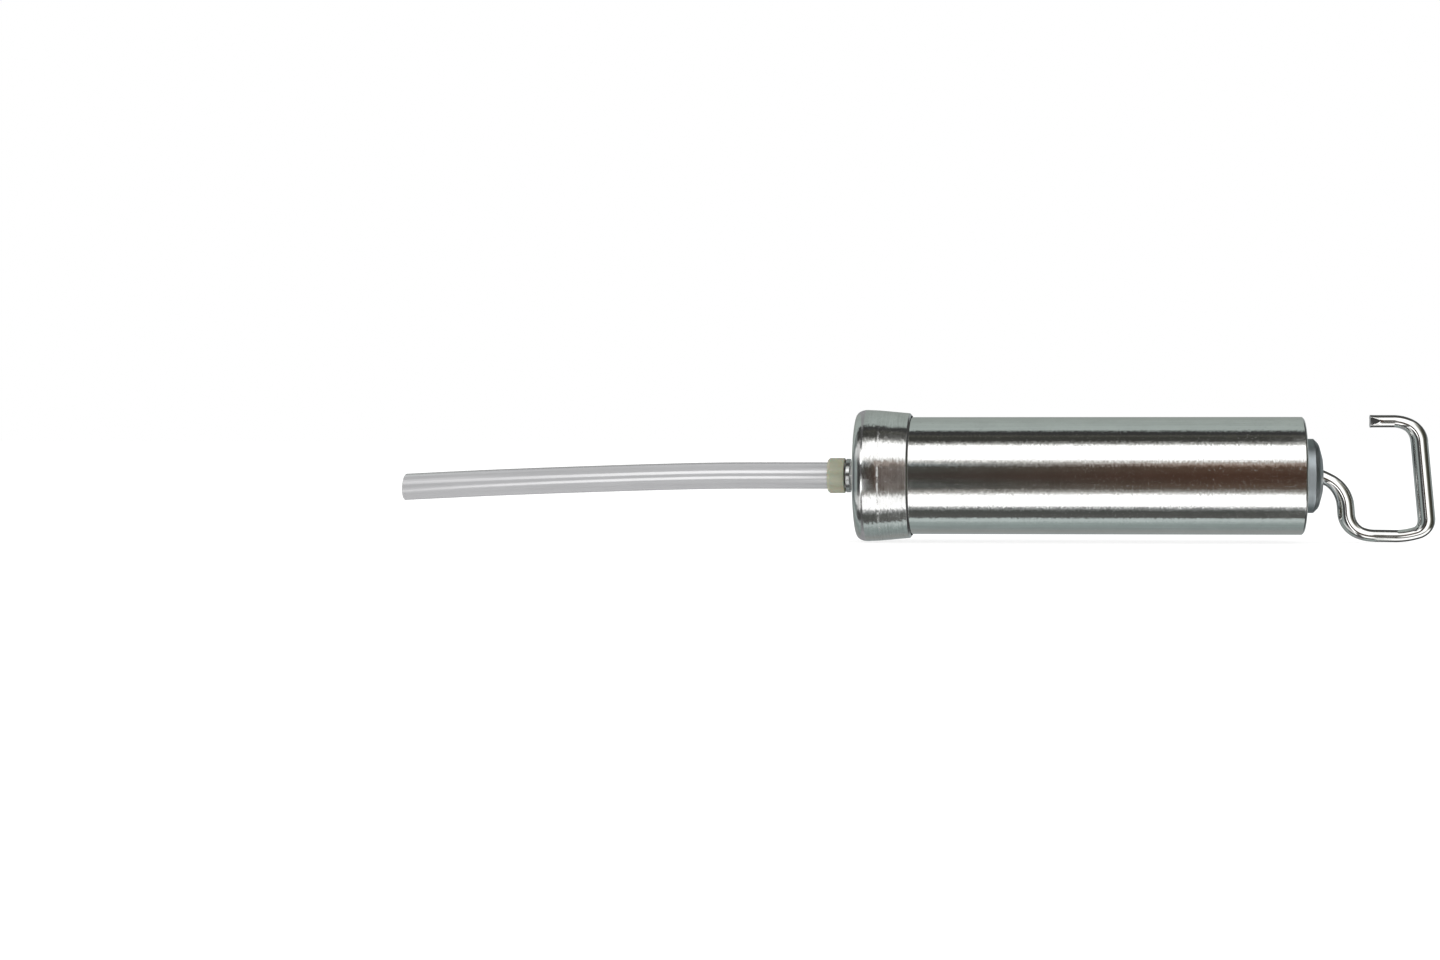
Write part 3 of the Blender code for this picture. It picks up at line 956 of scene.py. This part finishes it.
def make_nut(node, hole_r, body):
    front = along(node, 0)
    rear = along(node, 1)
    corner = outer_radius(node)
    chamfer = 0.1 * corner
    profile = [
        (front, hole_r + 0.3 * MM),
        (front, corner - chamfer, corner),
        (front + 0.2 * chamfer, corner - 0.4 * chamfer, corner),
        (front + 0.6 * chamfer, corner, corner),
        (rear - 0.6 * chamfer, corner, corner),
        (rear - 0.2 * chamfer, corner - 0.4 * chamfer, corner),
        (rear, corner - chamfer, corner),
        (rear, hole_r + 0.3 * MM),
        (rear - 0.4 * MM, hole_r),
        (front + 0.4 * MM, hole_r),
    ]
    turned(node + "_turned", profile, "hardware_steel", body, [node], 192, 25.0)


def make_cup(node, lip_forward):
    """A cup seal, with its lip turned towards the front or the rear."""
    front = along(node, 0)
    rear = along(node, 1)
    radius = outer_radius(node)
    if lip_forward:
        base, edge, inward = rear, front, -1
    else:
        base, edge, inward = front, rear, 1
    corners = [
        (base, ROD_HOLE_R, 0.2 * MM),
        (base, radius, 1.2 * MM),
        (edge, radius, 0.3 * MM),
        (edge, CUP_BORE_R + 1.6 * MM, 0.3 * MM),
        (base + inward * CUP_THICKNESS, CUP_BORE_R, 1.0 * MM),
        (base + inward * CUP_THICKNESS, ROD_HOLE_R, 0.2 * MM),
    ]
    turned(node + "_turned", rounded(corners, 5), "seal_rubber", "piston_body", [node], 160)


make_washer("cap_gasket", GASKET_HOLE_R, "seal_rubber", "cap_seal_body")
make_washer("fitting_gasket", SHANK_HOLE_R, "seal_rubber", "cap_body")
make_nut("fitting_lock_nut", SHANK_HOLE_R, "cap_body")
make_washer("guide_lock_ring", GUIDE_HOLE_R, "hardware_steel", "barrel_body")
make_nut("front_piston_nut", ROD_HOLE_R, "plunger_body")
make_nut("rear_piston_nut", ROD_HOLE_R, "plunger_body")
for disc in ("front_lock_washer", "front_follower_disc", "rear_follower_disc", "rear_lock_washer"):
    make_washer(disc, ROD_HOLE_R, "hardware_steel", "plunger_body")
make_washer("cup_spreader_disc", ROD_HOLE_R, "hardware_steel", "piston_body")
make_cup("front_cup_seal", True)
make_cup("rear_cup_seal", False)


# ---------------------------------------------------------------- studio

PANEL = 1.35
# Light round the barrel's axis, by angle in degrees: 0 is the front and 90 is straight up.
BANDS = (
    (-180, (0.30, 0.33, 0.33)),
    (-165, (0.30, 0.33, 0.33)),
    (-140, (0.28, 0.29, 0.28)),
    (-127, (0.25, 0.285, 0.28)),
    (-112, (0.26, 0.31, 0.30)),
    (-104, (0.32, 0.37, 0.36)),
    (-98, (0.48, 0.54, 0.53)),
    (-93, (0.48, 0.54, 0.53)),
    (-89, (0.09, 0.09, 0.085)),
    (-72, (0.075, 0.08, 0.075)),
    (-65, (0.30, 0.31, 0.31)),
    (-60, (PANEL, PANEL, PANEL)),
    (-38, (PANEL, PANEL, PANEL)),
    (-32, (0.40, 0.39, 0.37)),
    (-24, (0.10, 0.092, 0.078)),
    (-12, (0.062, 0.052, 0.042)),
    (0, (0.056, 0.040, 0.031)),
    (18, (0.078, 0.066, 0.052)),
    (27, (0.45, 0.44, 0.41)),
    (34, (PANEL, PANEL, PANEL)),
    (61, (PANEL, PANEL, PANEL)),
    (66, (0.40, 0.40, 0.38)),
    (72, (0.05, 0.05, 0.045)),
    (82, (0.045, 0.045, 0.04)),
    (85, (0.09, 0.09, 0.075)),
    (88, (0.04, 0.04, 0.04)),
    (97, (0.045, 0.045, 0.045)),
    (102, (0.38, 0.43, 0.41)),
    (165, (0.30, 0.33, 0.31)),
    (180, (0.30, 0.33, 0.33)),
)
# The same for directions that lean a little to the right, where the panels reach further round.
WIRE_BANDS = (
    (-180, (0.30, 0.33, 0.33)),
    (-160, (0.30, 0.33, 0.33)),
    (-150, (0.06, 0.06, 0.06)),
    (-112, (0.06, 0.06, 0.06)),
    (-104, (0.30, 0.31, 0.31)),
    (-98, (PANEL, PANEL, PANEL)),
    (-60, (PANEL, PANEL, PANEL)),
    (-54, (0.50, 0.49, 0.46)),
    (-46, (0.10, 0.10, 0.09)),
    (0, (0.065, 0.06, 0.05)),
    (22, (0.09, 0.085, 0.075)),
    (29, (0.45, 0.44, 0.42)),
    (35, (PANEL, PANEL, PANEL)),
    (80, (PANEL, PANEL, PANEL)),
    (87, (0.30, 0.30, 0.29)),
    (94, (0.07, 0.07, 0.065)),
    (150, (0.06, 0.06, 0.06)),
    (160, (0.30, 0.33, 0.33)),
    (180, (0.30, 0.33, 0.33)),
)
# Light by how far a direction leans along +X: the colour, and how much it hides the bands.
SIDES = (
    (-1.00, (0.10, 0.11, 0.115, 1.0)),
    (-0.93, (0.12, 0.13, 0.135, 1.0)),
    (-0.86, (0.27, 0.31, 0.31, 1.0)),
    (-0.65, (0.33, 0.37, 0.36, 1.0)),
    (-0.57, (0.07, 0.07, 0.07, 1.0)),
    (-0.34, (0.05, 0.05, 0.05, 1.0)),
    (-0.27, (0.05, 0.05, 0.05, 0.0)),
    (0.135, (PANEL, PANEL, PANEL, 0.0)),
    (0.155, (PANEL, PANEL, PANEL, 1.0)),
    (0.57, (PANEL, PANEL, PANEL, 1.0)),
    (0.68, (0.50, 0.50, 0.46, 1.0)),
    (0.79, (0.16, 0.16, 0.135, 1.0)),
    (0.86, (0.06, 0.06, 0.045, 1.0)),
    (1.00, (0.05, 0.05, 0.04, 1.0)),
)
# What the hose mirrors, which lies further to the left: even greys.
HOSE_BANDS = (
    (-180, (0.30, 0.30, 0.31)),
    (-120, (0.30, 0.30, 0.31)),
    (-80, (0.09, 0.09, 0.09)),
    (88, (0.09, 0.09, 0.09)),
    (104, (0.30, 0.31, 0.31)),
    (180, (0.30, 0.30, 0.31)),
)
# The two narrow lamps over the hose, by how far a direction leans along +X: where the lower one is,
# in degrees, and how bright both are.
LOWER_LAMP = ((-0.32, -51), (-0.28, -48), (-0.255, -30), (-0.225, -18), (-0.13, -15), (-0.10, -14))
LAMP_LEVEL = ((-0.36, 0.0), (-0.31, 0.3), (-0.28, 0.4), (-0.22, 0.86), (-0.13, 1.0), (-0.10, 1.0))
LAMP = 2.4
UPPER_LAMP = math.radians(33)
# How far from the middle of each lamp it starts to fade, and where it ends, in radians.
LOWER_LAMP_EDGE = (0.11, 0.27)
UPPER_LAMP_EDGE = (0.13, 0.30)
# Leans along +X between which one set of bands gives way to the next.
HOSE_STARTS = -0.1155
HOSE_FULL = -0.1185
HOSE_FADES = 0.28
HOSE_ENDS = 0.33
WIRE_STARTS = 0.104
WIRE_FULL = 0.110
WARMTH = ((-0.08, (0.85, 1.05, 1.20)), (0.05, (1.20, 0.90, 0.80)))


def by_degrees(stops):
    return [((angle + 180) / 360, value) for angle, value in stops]


def by_lean(stops):
    return [((lean + 1) / 2, value) for lean, value in stops]


def studio_world():
    """Soft panels round the barrel in reflections, and even white light everywhere else."""
    world = bpy.data.worlds.new("studio")
    SCENE.world = world
    world.use_nodes = True
    world.cycles.sampling_method = "NONE"
    world.node_tree.nodes.clear()
    nodes = Nodes(world.node_tree)
    direction = nodes.add("TexCoord").outputs["Generated"]
    lean, depth, rise = nodes.add("SeparateXYZ", {0: direction}).outputs
    toward = nodes.math("MULTIPLY", depth, -1.0)
    turn = nodes.math("ARCTAN2", rise, toward)
    turn_place = nodes.math("ADD", nodes.math("DIVIDE", turn, 2 * math.pi), 0.5)
    lean_place = nodes.math("ADD", nodes.math("MULTIPLY", lean, 0.5), 0.5)
    bands, _ = nodes.ramp(turn_place, by_degrees(BANDS))
    # The dark middle band is greyer to the left and redder to the right.
    warmth, _ = nodes.ramp(lean_place, by_lean(WARMTH))
    middle = fading(nodes, nodes.math("ABSOLUTE", turn), math.radians(18), math.radians(30))
    bands = nodes.mix(middle, bands, nodes.mix(1.0, bands, warmth, "MULTIPLY"))
    wire_bands, _ = nodes.ramp(turn_place, by_degrees(WIRE_BANDS))
    past_barrel = nodes.math("SUBTRACT", 1.0, fading(nodes, lean, WIRE_STARTS, WIRE_FULL))
    bands = nodes.mix(past_barrel, bands, wire_bands)
    hose_bands, _ = nodes.ramp(turn_place, by_degrees(HOSE_BANDS))
    at_hose = fading(nodes, lean, HOSE_FULL, HOSE_STARTS)
    lean_left = nodes.math("MULTIPLY", lean, -1.0)
    hose_zone = nodes.math("MULTIPLY", at_hose, fading(nodes, lean_left, HOSE_FADES, HOSE_ENDS))
    bands = nodes.mix(hose_zone, bands, hose_bands)
    side, cover = nodes.ramp(lean_place, by_lean(SIDES))
    # The right panel is only as high as the upper band, and the left one thins out above and below.
    rise_place = nodes.math("ADD", nodes.math("MULTIPLY", rise, 0.5), 0.5)
    right_height, _ = nodes.ramp(rise_place, ((0.22, 0.0), (0.28, 1.0), (0.86, 1.0), (0.93, 0.0)))
    left_height, _ = nodes.ramp(rise_place, ((0.20, 0.55), (0.34, 1.0), (0.66, 1.0), (0.80, 0.55)))
    height = nodes.mix(nodes.math("GREATER_THAN", lean, 0.0), left_height, right_height)
    in_front = fading(nodes, depth, 0.0, 0.25)
    cover = nodes.math("MULTIPLY", cover, nodes.math("MULTIPLY", height, in_front))
    seen = nodes.mix(cover, bands, side)
    lower_place, _ = nodes.ramp(lean_place, by_lean([(at, 1 + angle / 180) for at, angle in LOWER_LAMP]))
    lower = nodes.math("MULTIPLY", nodes.math("SUBTRACT", lower_place, 1.0), math.pi)
    level, _ = nodes.ramp(lean_place, by_lean(LAMP_LEVEL))
    level = nodes.math("MULTIPLY", nodes.math("MULTIPLY", level, at_hose), LAMP)
    from_lower = nodes.math("ABSOLUTE", nodes.math("SUBTRACT", turn, lower))
    from_upper = nodes.math("ABSOLUTE", nodes.math("SUBTRACT", turn, UPPER_LAMP))
    lower_glow = fading(nodes, from_lower, *LOWER_LAMP_EDGE)
    upper_glow = fading(nodes, from_upper, *UPPER_LAMP_EDGE)
    lamps = nodes.math("MULTIPLY", nodes.math("ADD", lower_glow, upper_glow), level)
    seen = nodes.mix(1.0, seen, lamps, "ADD")
    path = nodes.add("LightPath")
    even = nodes.mix(path.outputs["Is Diffuse Ray"], (1.0, 1.0, 1.0, 1.0), (1.15, 1.15, 1.15, 1.0))
    colour = nodes.mix(path.outputs["Is Glossy Ray"], even, seen)
    background = nodes.add("Background", {"Color": colour})
    output = nodes.add("OutputWorld")
    nodes.tree.links.new(background.outputs[0], output.inputs["Surface"])


FLOOR_HALF_SIZE = 60.0
FLOOR_DROP = 0.2 * MM
FLOOR_GLOW = 0.75


def make_floor():
    """A large pale floor with some light of its own. It can't be seen from below."""
    size = FLOOR_HALF_SIZE
    mesh = bpy.data.meshes.new("floor")
    corners = [(-size, -size, 0), (size, -size, 0), (size, size, 0), (-size, size, 0)]
    mesh.from_pydata(corners, [], [(0, 1, 2, 3)])
    floor = bpy.data.objects.new("floor", mesh)
    floor.location = (0, 0, -FLOOR_DROP)
    SCENE.collection.objects.link(floor)
    material, nodes, shader = new_material("floor")
    shader.inputs["Roughness"].default_value = 0.9
    shader.inputs["Specular IOR Level"].default_value = 0.0
    shader.inputs["Emission Color"].default_value = (1.0, 1.0, 1.0, 1.0)
    shader.inputs["Emission Strength"].default_value = FLOOR_GLOW
    here = nodes.add("TexCoord").outputs["Object"]
    colour, _ = nodes.ramp(nodes.noise(here, 3.0, 3.0), ((0.3, 0.36), (0.7, 0.38)))
    link(nodes, colour, shader, "Base Color")
    clear = nodes.add("BsdfTransparent")
    behind = nodes.add("NewGeometry").outputs["Backfacing"]
    mixed = nodes.add("MixShader", {0: behind, 1: shader.outputs[0], 2: clear.outputs[0]})
    nodes.tree.links.new(mixed.outputs[0], nodes.tree.nodes["Material Output"].inputs["Surface"])
    mesh.materials.append(material)
    floor.visible_glossy = False


studio_world()
make_floor()
SCENE.view_settings.view_transform = "Standard"
SCENE.view_settings.look = "None"
SCENE.view_settings.exposure = 0.0
SCENE.view_settings.gamma = 1.0
